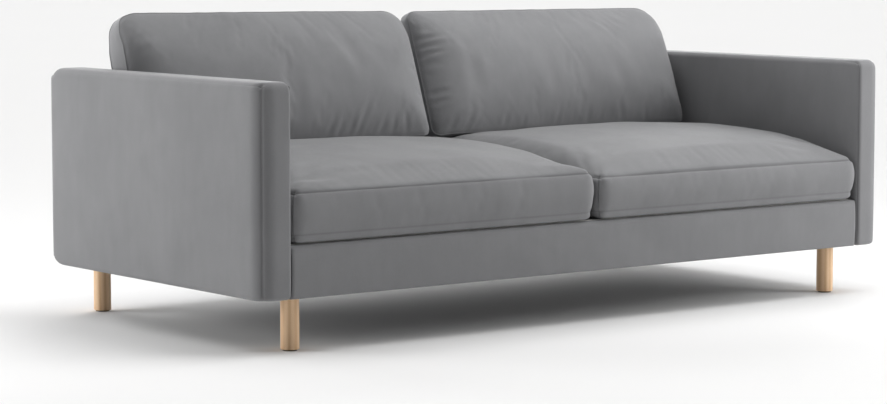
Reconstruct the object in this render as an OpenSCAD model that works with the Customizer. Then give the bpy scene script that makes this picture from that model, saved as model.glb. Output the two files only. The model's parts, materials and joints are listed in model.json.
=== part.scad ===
// Two-cushion sofa with slim arms on four round wooden legs, in millimetres.
// The origin is on the floor under the middle of the sofa, with -Y to the front and +Z up.
// Left and right are as seen from in front, so right is +X.

/* [Overall] */
// Overall width across the arms
overall_w = 2080; // [1800:10:2300]
// Overall depth, front of the arms to the outside back
overall_d = 1010; // [980:5:1040]
// Height of the arms
arm_h = 650; // [630:5:670]
// Clear height under the upholstery
clear_h = 133; // [100:1:160]

/* [Arms] */
// Thickness of one arm
arm_t = 90; // [86:1:110]
// Plan radius of the arm's front outer corner
arm_front_r = 46; // [20:1:46]
// Plan radius of the arm's back outer corner
arm_back_r = 38; // [20:1:40]
// Side-view radius of the arm's back corner at the top
arm_top_r = 52; // [30:1:56]
// Side-view radius of the arm's back corner at the bottom
arm_heel_r = 60; // [30:1:64]
// Radius along the arm's top edges
arm_edge_r = 14; // [8:1:18]

/* [Upholstery] */
// Thickness of the upholstery fabric
cover_t = 1.5; // [1:0.25:2]
// Foam and fibre between an arm's boards and its fabric
arm_pad = 10; // [8:1:12]
// Height of the upholstered front rail's top edge
front_top = 262; // [258:1:264]
// Setback of the front rail's fabric behind the arm fronts
front_setback = 5; // [3:1:8]

/* [Seat cushions] */
// Height of a seat cushion's underside, just over the deck
seat_bottom = 265; // [265:0.5:267]
// Rise of the crown from underside to the highest point
seat_rise = 190.5; // [170:0.5:192]
// Drop of the crown from the middle to the cushion's ends
end_drop = 24; // [10:1:34]
// Gap between the two seat cushions
seat_gap = 8; // [4:1:14]

/* [Back cushions] */
// Height of the top of a back cushion
back_top = 792; // [780:1:800]
// Lean of a back cushion away from upright, in degrees
back_lean = 18.5; // [17:0.5:19.5]
// Thickness of a back cushion at its fullest
back_t = 176; // [150:1:176]
// Gap between the two back cushions
back_gap = 8; // [4:1:14]

/* [Legs] */
// Diameter of a leg
leg_d = 46; // [36:1:54]
// Leg centre in from the arm's outer face
leg_inset_x = 135; // [130:1:150]
// Front leg centre behind the arm fronts
leg_inset_front = 80; // [70:1:100]
// Rear leg centre in front of the outside back
leg_inset_rear = 45; // [40:1:48]

/* [Hidden] */
$fn = 48;

LEFT = -1;
RIGHT = 1;
fit = 0.3;

half_w = overall_w / 2;
half_d = overall_d / 2;
arm_in = half_w - arm_t;
frame_x = arm_in - fit;
frame_bottom = 140;
rail_top = 250;
rail_t = 30;

front_face = -half_d + front_setback;
front_pad = 6.5;
front_wood = front_face + cover_t + front_pad;
front_rail_in = front_wood + rail_t;
rear_wood = half_d - 5;
rear_rail_in = rear_wood - rail_t;
side_rail_t = 25;
side_rail_in = frame_x - side_rail_t;

back_face = half_d - 121;
back_h = arm_h - 10;
back_frame_face = back_face + 16;
post_w = 30;

leg_x = half_w - leg_inset_x;
leg_front_y = -half_d + leg_inset_front;
leg_rear_y = half_d - leg_inset_rear;
glide_h = 3;
glide_r = 18;
leg_top = frame_bottom - 1;
bolt_r = 4;
bolt_clear_r = 4.3;
leg_bolt_low = 100;
block_h = 35;
nut_barrel_r = 5.5;
nut_flange_r = 9;
nut_flange_t = 1.6;
nut_barrel_h = 12;

arm_bolt_z = 168;
arm_bolt_ys = [-300, 0, 300];
arm_bolt_len = 72;
board_t = 5;
post_d = 45;
arm_rail_h = 38;
arm_bottom_rail_h = 56;

deck_low = 257;
deck_top = seat_bottom - 0.5;
deck_cloth_t = 1.5;
spring_w = 52;
wire_t = 3.8;
spring_z = rail_top + 1.2;
springs_per_side = 5;

seat_front = -half_d + 3;
seat_back = back_face - 14;
seat_side = arm_in - 3;
seat_in = seat_gap / 2;
seat_w = seat_side - seat_in;
seat_mid = (seat_side + seat_in) / 2;
core_gap = 0.4;

cushion_side = arm_in - 5;
cushion_in = back_gap / 2;
cushion_w = cushion_side - cushion_in;
cushion_mid = (cushion_side + cushion_in) / 2;
cushion_foot_y = 224;
cushion_foot_z = 432;
cushion_rise = (back_top - cushion_foot_z) / cos(back_lean);

zip_len = 640;
zip_tape_h = 24;
chain_h = 5;
slider_len = 16;

fabric = "#8b8b8d";
lining = "#3c3c3e";
timber = "#c9a06a";
board = "#b88f5c";
oak = "#d8b98a";
foam = "#e8dfb8";
fibre = "#f4f3ee";
steel = "#b9bcc0";
spring_steel = "#6f7378";
plastic = "#2c2c2e";

// ---------- outlines ----------

// Points of an arc about c from angle a0 to a1
function arc(c, r, a0, a1, n = 6) =
    [for (i = [0 : n]) c + r * [cos(a0 + (a1 - a0) * i / n), sin(a0 + (a1 - a0) * i / n)]];

// Rectangle from low to high with its own radius at each corner, anticlockwise from the low corner
function round_rect(low, high, r) = concat(
    arc([low.x + r[0], low.y + r[0]], r[0], 180, 270),
    arc([high.x - r[1], low.y + r[1]], r[1], 270, 360),
    arc([high.x - r[2], high.y - r[2]], r[2], 0, 90),
    arc([low.x + r[3], high.y - r[3]], r[3], 90, 180));

// Extrudes a Y-Z outline along X from x0 to x1
module along_x(x0, x1) {
    translate([x0, 0, 0])
        rotate([90, 0, 90])
            linear_extrude(x1 - x0)
                children();
}

// Extrudes an X-Z outline along Y from y0 to y1
module along_y(y0, y1) {
    translate([0, y1, 0])
        rotate([90, 0, 0])
            linear_extrude(y1 - y0)
                children();
}

module block(low, high) {
    translate(low)
        cube(high - low);
}

// Draws its children on the right-hand side, or mirrored on the left
module on_side(side) {
    mirror([side == LEFT ? 1 : 0, 0, 0])
        children();
}

// ---------- seat base ----------

module front_rail() {
    color(timber)
        block([-frame_x, front_wood, frame_bottom], [frame_x, front_rail_in, rail_top]);
}

module rear_rail() {
    color(timber)
        block([-frame_x, rear_rail_in, frame_bottom], [frame_x, rear_wood, rail_top]);
}

module side_rail(side) {
    color(timber)
        on_side(side)
            difference() {
                block([side_rail_in, front_rail_in, frame_bottom], [frame_x, rear_rail_in, rail_top]);
                arm_bolt_holes(bolt_clear_r);
            }
}

module centre_rail() {
    color(timber)
        block([-14, front_rail_in, frame_bottom], [14, rear_rail_in, rail_top - 20]);
}

// Places its children at the four leg centres
module at_legs() {
    for (x = [-leg_x, leg_x], y = [leg_front_y, leg_rear_y])
        translate([x, y, 0])
            children();
}

// Corner block of one leg, filling the corner between the rails
module leg_block(y0, y1) {
    block([side_rail_in - 72, y0, frame_bottom], [side_rail_in, y1, frame_bottom + block_h]);
}

module leg_blocks() {
    color(timber)
        difference() {
            for (side = [LEFT, RIGHT])
                on_side(side) {
                    leg_block(front_rail_in, front_rail_in + 90);
                    leg_block(rear_rail_in - 90, rear_rail_in);
                }
            at_legs() {
                translate([0, 0, frame_bottom - 1])
                    cylinder(r = bolt_clear_r, h = block_h + 2);
                translate([0, 0, frame_bottom + block_h - nut_barrel_h])
                    cylinder(r = nut_barrel_r + 0.05, h = nut_barrel_h + 1);
            }
        }
}

// Centre line across the seat of every zigzag spring
spring_xs = [for (side = [LEFT, RIGHT], i = [0 : springs_per_side - 1])
    side * (100 + i * (side_rail_in - 190) / (springs_per_side - 1))];
spring_y0 = front_rail_in - 9;
spring_y1 = rear_rail_in + 9;
spring_pitch = 29;
spring_loops = floor((spring_y1 - spring_y0) / spring_pitch);
spring_step = (spring_y1 - spring_y0) / spring_loops;

// Inner posts of the back stand between two springs
inner_post_x = (spring_xs[springs_per_side + 1] + spring_xs[springs_per_side + 2]) / 2;

// Outline of a zigzag wire: its cross bars lie along X and half-round bends join them at alternate ends
module zigzag_outline() {
    bend_r = spring_step / 2;
    bar = spring_w / 2 - bend_r;
    for (i = [0 : spring_loops])
        translate([0, i * spring_step])
            square([2 * bar, wire_t], center = true);
    for (i = [0 : spring_loops - 1])
        translate([i % 2 == 0 ? bar : -bar, (i + 0.5) * spring_step])
            intersection() {
                difference() {
                    circle(bend_r + wire_t / 2, $fn = 24);
                    circle(bend_r - wire_t / 2, $fn = 24);
                }
                translate([i % 2 == 0 ? bend_r : -bend_r, 0])
                    square([2 * bend_r, 3 * bend_r], center = true);
            }
}

module seat_springs() {
    color(spring_steel)
        for (x = spring_xs)
            translate([x, spring_y0, spring_z])
                linear_extrude(wire_t)
                    zigzag_outline();
}

// Folded clip that holds the end bar of a spring on a rail; out points to the rail's outer side
module spring_clip(y, out) {
    gap = wire_t / 2 + 0.2;
    translate([0, y, 0]) {
        block([-11, -6, rail_top], [11, 6, rail_top + 1]);
        block([-11, min(out * gap, out * (gap + 1.2)), rail_top + 1],
            [11, max(out * gap, out * (gap + 1.2)), rail_top + 6.4]);
        block([-11, -gap - 1.2, rail_top + 5.4], [11, gap + 1.2, rail_top + 6.4]);
    }
}

module spring_clips() {
    color(steel)
        for (x = spring_xs)
            translate([x, 0, 0]) {
                spring_clip(spring_y0, -1);
                spring_clip(spring_y1, 1);
            }
}

module deck_pad() {
    color(fibre)
        block([-frame_x, front_rail_in - 16, deck_low], [frame_x, back_face - 3, deck_top - deck_cloth_t]);
}

module deck_cloth() {
    color(lining)
        block([-frame_x, front_rail_in - 12, deck_top - deck_cloth_t], [frame_x, back_face - 1, deck_top]);
}

module dust_cover() {
    color(plastic)
        difference() {
            block([-frame_x, front_wood, leg_top], [frame_x, rear_wood, frame_bottom]);
            at_legs()
                translate([0, 0, leg_top - 1])
                    cylinder(r = bolt_clear_r, h = 3);
        }
}

// Front rail's upholstery in side view, with its face t behind the outer fabric face
module front_profile(t) {
    r = 13 - t;
    polygon(concat(
        [[front_face + t, clear_h + t]],
        [[front_rail_in - 4, clear_h + t]],
        [[front_rail_in - 4, frame_bottom - 1]],
        [[front_wood, frame_bottom - 1]],
        [[front_wood, rail_top]],
        [[front_rail_in - 17, rail_top]],
        [[front_rail_in - 17, front_top - t]],
        arc([front_face + 13, front_top - 13], r, 90, 180)));
}

module front_padding() {
    color(foam)
        along_x(-frame_x + cover_t, frame_x - cover_t)
            front_profile(cover_t);
}

module front_cover() {
    color(fabric)
        difference() {
            along_x(-frame_x, frame_x)
                front_profile(0);
            along_x(-frame_x + cover_t, frame_x - cover_t)
                front_profile(cover_t);
        }
}

// ---------- arms, drawn on the right ----------

// Arm's rounded body, with every face t inside the outer fabric face
module arm_form(t) {
    intersection() {
        along_x(arm_in + t, half_w - t)
            polygon(round_rect([-half_d + t, clear_h + t], [half_d - t, arm_h - t],
                [6, arm_heel_r - t, arm_top_r - t, 22 - t / 2]));
        translate([0, 0, clear_h])
            linear_extrude(arm_h - clear_h)
                polygon(round_rect([arm_in + t, -half_d + t], [half_w - t, half_d - t],
                    [10 - t / 2, arm_front_r - t, arm_back_r - t, 8 - t / 4]));
        along_y(-half_d, half_d)
            polygon(round_rect([arm_in + t, clear_h + t], [half_w - t, arm_h - t],
                [4, 6, arm_edge_r - t / 4, arm_edge_r - t / 4]));
    }
}

// Bolt holes that join an arm to the side rail, along X
module arm_bolt_holes(r) {
    for (y = arm_bolt_ys)
        translate([side_rail_in - 10, y, arm_bolt_z])
            rotate([0, 90, 0])
                cylinder(r = r, h = arm_bolt_len + 14);
}

core_in = arm_in + cover_t + arm_pad;
core_out = half_w - cover_t - arm_pad;
core_front = -half_d + 16;
core_back = half_d - 16;
core_low = clear_h + 2;
core_top = arm_h - 15;

// Keeps what lies inside the arm's padding
module in_core() {
    intersection() {
        children();
        arm_form(cover_t + 4);
    }
}

module arm_front_post(side) {
    color(timber)
        on_side(side)
            in_core()
                block([core_in + board_t, core_front, core_low + 4],
                    [core_out - board_t, core_front + post_d, core_top]);
}

module arm_rear_post(side) {
    color(timber)
        on_side(side)
            in_core()
                block([core_in + board_t, core_back - post_d, core_low + 4],
                    [core_out - board_t, core_back, core_top]);
}

module arm_rails(side) {
    color(timber)
        on_side(side)
            difference() {
                union() {
                    block([core_in + board_t, core_front + post_d, core_top - arm_rail_h],
                        [core_out - board_t, core_back - post_d, core_top]);
                    block([core_in + board_t, core_front + post_d, core_low + 4],
                        [core_out - board_t, core_back - post_d, core_low + 4 + arm_bottom_rail_h]);
                }
                arm_bolt_holes(bolt_clear_r);
                for (y = arm_bolt_ys)
                    translate([core_in + board_t + 12, y, arm_bolt_z])
                        rotate([0, 90, 0])
                            cylinder(r = nut_barrel_r + 0.05, h = 60);
            }
}

module arm_board(side, x) {
    color(board)
        on_side(side)
            difference() {
                in_core()
                    block([x, core_front, core_low + 4], [x + board_t, core_back, core_top]);
                if (x < arm_in + arm_t / 2)
                    arm_bolt_holes(bolt_clear_r);
            }
}

module arm_padding(side) {
    color(foam)
        on_side(side)
            difference() {
                arm_form(cover_t);
                intersection() {
                    block([core_in, core_front, clear_h - 1], [core_out, core_back, core_top]);
                    union() {
                        arm_form(cover_t + 4);
                        block([core_in + 8, core_front + 30, clear_h - 1],
                            [core_out - 8, core_back - 30, clear_h + 20]);
                    }
                }
                arm_bolt_holes(bolt_clear_r);
            }
}

module arm_cover(side) {
    color(fabric)
        on_side(side)
            difference() {
                arm_form(0);
                arm_form(cover_t);
                block([core_in + 8, core_front + 30, clear_h - 1],
                    [core_out - 8, core_back - 30, clear_h + 3]);
                intersection() {
                    arm_bolt_holes(bolt_clear_r);
                    block([arm_in - 5, -half_d, clear_h], [arm_in + 5, half_d, arm_h]);
                }
            }
}

// Furniture bolts through the side rails into the arms
module arm_bolts() {
    color(steel)
        for (side = [LEFT, RIGHT])
            on_side(side)
                for (y = arm_bolt_ys)
                    translate([side_rail_in, y, arm_bolt_z])
                        rotate([0, 90, 0]) {
                            cylinder(r = bolt_r, h = arm_bolt_len);
                            translate([0, 0, -1.8])
                                cylinder(r = 11, h = 1.8);
                            translate([0, 0, -6])
                                difference() {
                                    cylinder(r = 7, h = 4.2);
                                    translate([0, 0, -1])
                                        cylinder(r = 3, h = 4, $fn = 6);
                                }
                        }
}

// Barrel nuts in the arms' bottom rails
module arm_nuts() {
    color(steel)
        for (side = [LEFT, RIGHT])
            on_side(side)
                for (y = arm_bolt_ys)
                    translate([core_in + board_t + 14, y, arm_bolt_z])
                        rotate([0, 90, 0])
                            difference() {
                                cylinder(r = nut_barrel_r, h = 22);
                                translate([0, 0, -1])
                                    cylinder(r = bolt_r + 0.05, h = 24);
                            }
}

// ---------- back ----------

// Back rest in side view from the seat deck to its top, t inside the outer fabric face
module back_profile(t) {
    polygon(concat(
        [[back_face + t, deck_top + 0.5]],
        [[half_d - t, deck_top + 0.5]],
        arc([half_d - 30, back_h - 30], 30 - t, 0, 90),
        arc([back_face + 34, back_h - 34], 34 - t, 90, 180)));
}

module back_rails() {
    color(timber)
        for (z = [[deck_top + 4, 44], [back_h - 64, 44]])
            block([-frame_x + 3, back_frame_face, z[0]], [frame_x - 3, back_frame_face + 26, z[0] + z[1]]);
}

module back_posts() {
    color(timber)
        for (x = [-frame_x + post_w / 2 + 3, -inner_post_x, inner_post_x, frame_x - post_w / 2 - 3])
            block([x - post_w / 2, back_frame_face + 26, rail_top], [x + post_w / 2, rear_wood - 2, back_h - 20]);
}

module back_webbing() {
    straps = 12;
    strap_w = 50;
    color(lining) {
        for (i = [0 : straps - 1])
            let (x = -frame_x + 60 + i * (2 * frame_x - 120 - strap_w) / (straps - 1))
                block([x, back_frame_face - 1.6, deck_top + 14], [x + strap_w, back_frame_face, back_h - 30]);
        for (z = [380, 500])
            block([-frame_x + 10, back_frame_face - 3.2, z], [frame_x - 10, back_frame_face - 1.6, z + strap_w]);
    }
}

module back_padding() {
    color(foam)
        difference() {
            along_x(-frame_x + cover_t, frame_x - cover_t)
                back_profile(cover_t);
            block([-frame_x - 1, back_frame_face - 3.2, deck_top - 5], [frame_x + 1, half_d, back_h - 20]);
        }
}

module back_cover() {
    panel_top = back_h - 45;
    color(fabric)
        difference() {
            along_x(-frame_x, frame_x)
                back_profile(0);
            along_x(-frame_x + cover_t, frame_x - cover_t)
                back_profile(cover_t);
            block([-frame_x - 1, half_d - 20, deck_top - 5], [frame_x + 1, half_d + 1, panel_top]);
            block([-frame_x + cover_t, back_face + 20, deck_top - 5],
                [frame_x - cover_t, half_d - 15, deck_top + 10]);
        }
}

// Outside back: one flat fabric-covered board from the back's top down to the underside
module back_panel() {
    panel_top = back_h - 45;
    lip_r = 8;
    color(fabric)
        along_x(-frame_x, frame_x)
            polygon(concat(
                [[half_d, panel_top]],
                [[half_d - 3, panel_top]],
                arc([half_d - lip_r, clear_h + lip_r], lip_r - 3, 0, -90),
                arc([half_d - lip_r, clear_h + lip_r], lip_r, -90, 0)));
}

// ---------- legs ----------

module leg(x, y) {
    color(oak)
        translate([x, y, 0])
            difference() {
                translate([0, 0, glide_h])
                    cylinder(d = leg_d, h = leg_top - glide_h);
                translate([0, 0, leg_bolt_low - 2])
                    cylinder(r = bolt_r + 0.02, h = leg_top);
            }
}

module leg_bolts() {
    color(steel)
        at_legs()
            translate([0, 0, leg_bolt_low])
                cylinder(r = bolt_r, h = frame_bottom + block_h - leg_bolt_low - 1);
}

module tee_nuts() {
    color(steel)
        at_legs()
            translate([0, 0, frame_bottom + block_h])
                difference() {
                    union() {
                        cylinder(r = nut_flange_r, h = nut_flange_t);
                        translate([0, 0, -nut_barrel_h + 1])
                            cylinder(r = nut_barrel_r, h = nut_barrel_h);
                    }
                    translate([0, 0, -nut_barrel_h])
                        cylinder(r = bolt_r + 0.05, h = 2 * nut_barrel_h);
                }
}

module floor_glides() {
    color(plastic)
        at_legs()
            cylinder(r = glide_r, h = glide_h);
}

// ---------- seat cushions, drawn on the right ----------

// Crowned outline in side view, with every face t inside the cover
module seat_side_profile(t) {
    top = seat_bottom + seat_rise - t;
    front = seat_front + t;
    rear = seat_back - t;
    polygon(concat(
        [[front + 10, seat_bottom + t]],
        [[rear - 10, seat_bottom + t]],
        [[rear, seat_bottom + 10 + t]],
        [[rear, top - 46]],
        [[rear - 10, top - 33]],
        [[270, top - 18.5]],
        [[170, top - 7.5]],
        [[60, top - 1]],
        [[-60, top]],
        [[-180, top - 5.5]],
        [[-300, top - 18.5]],
        [[-400, top - 37.5]],
        [[-460, top - 54]],
        arc([front + 28, top - 90], 28, 120, 180, 3),
        [[front, seat_bottom + 10 + t]]));
}

// Crowned outline in front view, about the cushion's own middle
module seat_front_profile(t) {
    top = seat_bottom + seat_rise - t;
    half = seat_w / 2 - t;
    polygon(concat(
        arc([-half + 14, seat_bottom + 14 + t], 14, 180, 270),
        arc([half - 14, seat_bottom + 14 + t], 14, 270, 360),
        arc([half - 26, top - end_drop - 26], 26, 0, 60),
        [for (k = [0.7, 0.4, 0, -0.4, -0.7]) [half * k, top - end_drop * pow(abs(k), 2.2)]],
        arc([-half + 26, top - end_drop - 26], 26, 120, 180)));
}

module seat_form(t) {
    intersection() {
        along_x(seat_mid - seat_w / 2 + t, seat_mid + seat_w / 2 - t)
            seat_side_profile(t);
        translate([seat_mid, 0, 0])
            along_y(seat_front, seat_back)
                seat_front_profile(t);
        translate([seat_mid, 0, seat_bottom])
            linear_extrude(seat_rise)
                polygon(round_rect([-seat_w / 2 + t, seat_front + t], [seat_w / 2 - t, seat_back - t],
                    [28, 28, 20, 20]));
    }
}

module seat_cover(side) {
    color(fabric)
        on_side(side)
            difference() {
                seat_form(0);
                seat_form(cover_t);
            }
}

module seat_foam(side) {
    color(foam)
        on_side(side)
            seat_form(cover_t + core_gap);
}

// ---------- back cushions, drawn on the right ----------

// Stands a shape modelled upright, with its thickness along Y, in the cushion's leaning place
module lean_back() {
    translate([cushion_mid, cushion_foot_y, cushion_foot_z])
        rotate([-back_lean, 0, 0])
            children();
}

// Half thickness of the cushion at height v above its foot
module cushion_side_profile(t) {
    half = back_t / 2 - t;
    top = cushion_rise + 2 - t;
    section = [[0, 0.6], [60, 0.88], [120, 1], [190, 1], [250, 0.86], [300, 0.62], [340, 0.36]];
    polygon(concat(
        [for (p = section) [half * p[1], p[0]]],
        [[half * 0.14, top]],
        [[-half * 0.14, top]],
        [for (i = [len(section) - 1 : -1 : 0]) [-half * section[i][1], section[i][0]]]));
}

// Half thickness of the cushion along its width
module cushion_plan_profile(t) {
    half = back_t / 2 - t;
    w = cushion_w / 2 - t;
    section = [[1, 0.3], [0.97, 0.5], [0.91, 0.75], [0.82, 0.93], [0.72, 1]];
    polygon(concat(
        [for (p = section) [w * p[0], half * p[1]]],
        [for (i = [len(section) - 1 : -1 : 0]) [-w * section[i][0], half * section[i][1]]],
        [for (p = section) [-w * p[0], -half * p[1]]],
        [for (i = [len(section) - 1 : -1 : 0]) [w * section[i][0], -half * section[i][1]]]));
}

// The cushion's underside in side view, lifted t: it follows the slope of the seat behind the crown
module cushion_rest_plane(t) {
    front = seat_bottom + seat_rise - 4.5 + t;
    polygon([[0, front], [165, front], [400, front - 28.5], [600, front - 28.5], [600, 900], [0, 900]]);
}

module cushion_form(t) {
    intersection() {
        lean_back()
            intersection() {
                along_x(-cushion_w / 2 + t, cushion_w / 2 - t)
                    cushion_side_profile(t);
                translate([0, 0, -40])
                    linear_extrude(cushion_rise + 60)
                        cushion_plan_profile(t);
                along_y(-back_t, back_t)
                    polygon(round_rect([-cushion_w / 2 + t, -30], [cushion_w / 2 - t, cushion_rise + 2 - t],
                        [10, 10, 44 - t, 44 - t]));
            }
        along_x(0, half_w)
            cushion_rest_plane(t);
    }
}

module cushion_cover(side) {
    color(fabric)
        on_side(side)
            difference() {
                cushion_form(0);
                cushion_form(cover_t);
            }
}

module cushion_filling(side) {
    color(fibre)
        on_side(side)
            cushion_form(cover_t + core_gap);
}

// ---------- zips: tape and chain on X, standing on the plane Y = 0 and facing +Y ----------

module zip() {
    color(plastic) {
        translate([-zip_len / 2, 0.1, -zip_tape_h / 2])
            cube([zip_len, 0.9, zip_tape_h]);
        translate([-zip_len / 2 + 4, 1, -chain_h / 2])
            cube([zip_len - 8, 1.4, chain_h]);
        for (x = [-zip_len / 2 + 2, zip_len / 2 - 4])
            translate([x, 1, -3.5])
                cube([2, 2, 7]);
    }
}

// Slider that straddles the chain, with its pull tab
module zip_slider() {
    low = 1 + fit;
    color(steel)
        translate([-zip_len / 2 + 5, 0, 0]) {
            difference() {
                translate([0, low, -5])
                    cube([slider_len - 5, 3.6 - fit, 10]);
                translate([-1, 0, -chain_h / 2 - fit])
                    cube([slider_len, 2.4 + fit, chain_h + 2 * fit]);
            }
            translate([2, 4.6, -2])
                cube([slider_len, 1.2, 4]);
        }
}

module on_seat_rear(side) {
    on_side(side)
        translate([seat_mid, seat_back, seat_bottom + 70])
            children();
}

module on_cushion_rear(side) {
    on_side(side)
        lean_back()
            translate([0, back_t / 2, 155])
                children();
}

// ---------- nodes ----------

front_rail();
rear_rail();
side_rail(LEFT);  // left_side_rail
side_rail(RIGHT);  // right_side_rail
centre_rail();
leg_blocks();
seat_springs();
spring_clips();
deck_pad();
deck_cloth();
dust_cover();
front_padding();
front_cover();
arm_front_post(LEFT);  // left_arm_front_post
arm_rear_post(LEFT);  // left_arm_rear_post
arm_rails(LEFT);  // left_arm_rails
arm_board(LEFT, core_in);  // left_arm_inner_board
arm_board(LEFT, core_out - board_t);  // left_arm_outer_board
arm_padding(LEFT);  // left_arm_padding
arm_cover(LEFT);  // left_arm_cover
arm_front_post(RIGHT);  // right_arm_front_post
arm_rear_post(RIGHT);  // right_arm_rear_post
arm_rails(RIGHT);  // right_arm_rails
arm_board(RIGHT, core_in);  // right_arm_inner_board
arm_board(RIGHT, core_out - board_t);  // right_arm_outer_board
arm_padding(RIGHT);  // right_arm_padding
arm_cover(RIGHT);  // right_arm_cover
back_rails();
back_posts();
back_webbing();
back_padding();
back_cover();
back_panel();
leg(-leg_x, leg_front_y);  // front_left_leg
leg(leg_x, leg_front_y);  // front_right_leg
leg(-leg_x, leg_rear_y);  // rear_left_leg
leg(leg_x, leg_rear_y);  // rear_right_leg
leg_bolts();
tee_nuts();
floor_glides();
arm_bolts();
arm_nuts();
seat_foam(LEFT);  // left_seat_foam
seat_cover(LEFT);  // left_seat_cover
on_seat_rear(LEFT) zip();  // left_seat_zip
on_seat_rear(LEFT) zip_slider();  // left_seat_zip_slider
seat_foam(RIGHT);  // right_seat_foam
seat_cover(RIGHT);  // right_seat_cover
on_seat_rear(RIGHT) zip();  // right_seat_zip
on_seat_rear(RIGHT) zip_slider();  // right_seat_zip_slider
cushion_filling(LEFT);  // left_back_filling
cushion_cover(LEFT);  // left_back_cushion_cover
on_cushion_rear(LEFT) zip();  // left_back_zip
on_cushion_rear(LEFT) zip_slider();  // left_back_zip_slider
cushion_filling(RIGHT);  // right_back_filling
cushion_cover(RIGHT);  // right_back_cushion_cover
on_cushion_rear(RIGHT) zip();  // right_back_zip
on_cushion_rear(RIGHT) zip_slider();  // right_back_zip_slider
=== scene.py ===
"""Covers, cushions, legs, inner finishes and studio of a two-cushion sofa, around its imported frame.

Everything is in metres, with the floor at Z = 0 under the middle of the sofa and -Y to the front.
"""

import json
import math

import bmesh
import bpy
from bpy.props import FloatProperty, FloatVectorProperty, IntProperty, PointerProperty
from mathutils import Matrix, Vector, noise


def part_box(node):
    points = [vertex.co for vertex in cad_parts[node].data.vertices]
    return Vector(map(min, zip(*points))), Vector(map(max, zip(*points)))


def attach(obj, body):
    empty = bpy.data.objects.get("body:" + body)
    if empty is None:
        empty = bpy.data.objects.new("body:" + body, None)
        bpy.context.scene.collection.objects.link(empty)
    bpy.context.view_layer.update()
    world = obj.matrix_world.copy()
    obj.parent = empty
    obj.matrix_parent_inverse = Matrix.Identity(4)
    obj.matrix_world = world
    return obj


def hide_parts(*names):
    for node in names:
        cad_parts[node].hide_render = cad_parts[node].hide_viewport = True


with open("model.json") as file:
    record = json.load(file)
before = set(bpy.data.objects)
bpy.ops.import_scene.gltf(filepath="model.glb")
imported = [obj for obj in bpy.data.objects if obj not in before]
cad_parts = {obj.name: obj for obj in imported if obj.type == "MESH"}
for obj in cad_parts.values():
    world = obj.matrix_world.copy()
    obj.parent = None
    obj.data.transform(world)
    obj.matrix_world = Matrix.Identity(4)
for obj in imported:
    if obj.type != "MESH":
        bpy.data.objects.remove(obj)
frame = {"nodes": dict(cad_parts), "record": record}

bl_info = {
    "name": "Two-cushion sofa",
    "version": (1, 0, 0),
    "blender": (4, 5, 0),
    "location": "View3D > Sidebar > Sofa",
    "description": "Builds the covers, cushions, legs and studio of a sofa around its frame",
    "category": "Object",
}

MM = 0.001
SIDES = (("left", -1.0), ("right", 1.0))


# ---------- sizes and colours that a user may change ----------


def length(name, description, value, least, most):
    """A length that a user may change, with its values given in millimetres."""
    return FloatProperty(
        name=name, description=description, default=value * MM, min=least * MM, max=most * MM, unit="LENGTH")


def colour(name, description, value):
    """A colour that a user may change."""
    return FloatVectorProperty(
        name=name, description=description, default=value, min=0.0, max=1.0, size=3, subtype="COLOR")


class SofaSizes(bpy.types.PropertyGroup):
    """Sizes of the upholstery's soft details."""

    arm_swell: length("Arm swell", "How far an arm's padded sides stand out at their middle", 2.5, 0, 6)
    arm_front_r: length("Arm corner", "Plan radius of the arm's front outer corner", 46, 20, 46)
    seam_depth: length("Seam depth", "How far the fabric is drawn in beside a seam", 2.2, 0, 5)
    seam_reach: length("Seam reach", "Width of the fabric that a seam draws in on each side", 6, 2, 15)
    rail_swell: length("Rail swell", "How far the front rail's fabric stands out at its middle", 2, 0, 5)
    seat_puff: length("Seat puff", "How far a seat cushion may swell when it is filled", 7, 0, 20)
    back_puff: length("Back puff", "How far a back cushion may swell when it is filled", 12, 0, 30)
    fill_steps: IntProperty(
        name="Filling steps", description="Steps of the filling simulation", default=16, min=4, max=30)
    leg_round: length("Leg edge", "Radius of the rounded edge at a leg's foot", 2, 0.5, 4)


class SofaColours(bpy.types.PropertyGroup):
    """Colours of the sofa's materials, in linear light."""

    fabric: colour("Fabric", "Pile of the upholstery fabric", (0.213, 0.214, 0.220))
    fabric_deep: colour("Fabric, brushed dark", "Pile brushed away from the light", (0.172, 0.173, 0.179))
    wood: colour("Leg wood", "Pale wood of the legs", (0.860, 0.600, 0.370))
    wood_deep: colour("Leg wood grain", "Darker grain of the legs", (0.700, 0.440, 0.240))
    timber: colour("Frame timber", "Sawn wood of the inner frame", (0.560, 0.370, 0.180))
    board: colour("Board", "Thin board inside the arms", (0.420, 0.275, 0.140))
    foam: colour("Foam", "Seat and padding foam", (0.790, 0.730, 0.480))
    fibre: colour("Fibre", "White fibre filling", (0.850, 0.840, 0.800))
    lining: colour("Lining", "Dark woven lining and webbing", (0.045, 0.045, 0.048))
    dust_cloth: colour("Dust cloth", "Black felt under the seat", (0.016, 0.016, 0.018))
    zip_tape: colour("Zip", "Plastic chain and woven tape", (0.030, 0.030, 0.033))
    glide: colour("Glide", "Plastic glides under the legs", (0.040, 0.038, 0.036))
    steel: colour("Bright steel", "Zinc-plated steel of bolts and nuts", (0.560, 0.570, 0.590))
    spring: colour("Spring steel", "Dull drawn wire", (0.170, 0.180, 0.200))
    floor: colour("Floor", "Studio floor", (0.790, 0.788, 0.786))


# ---------- shader writing ----------


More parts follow.
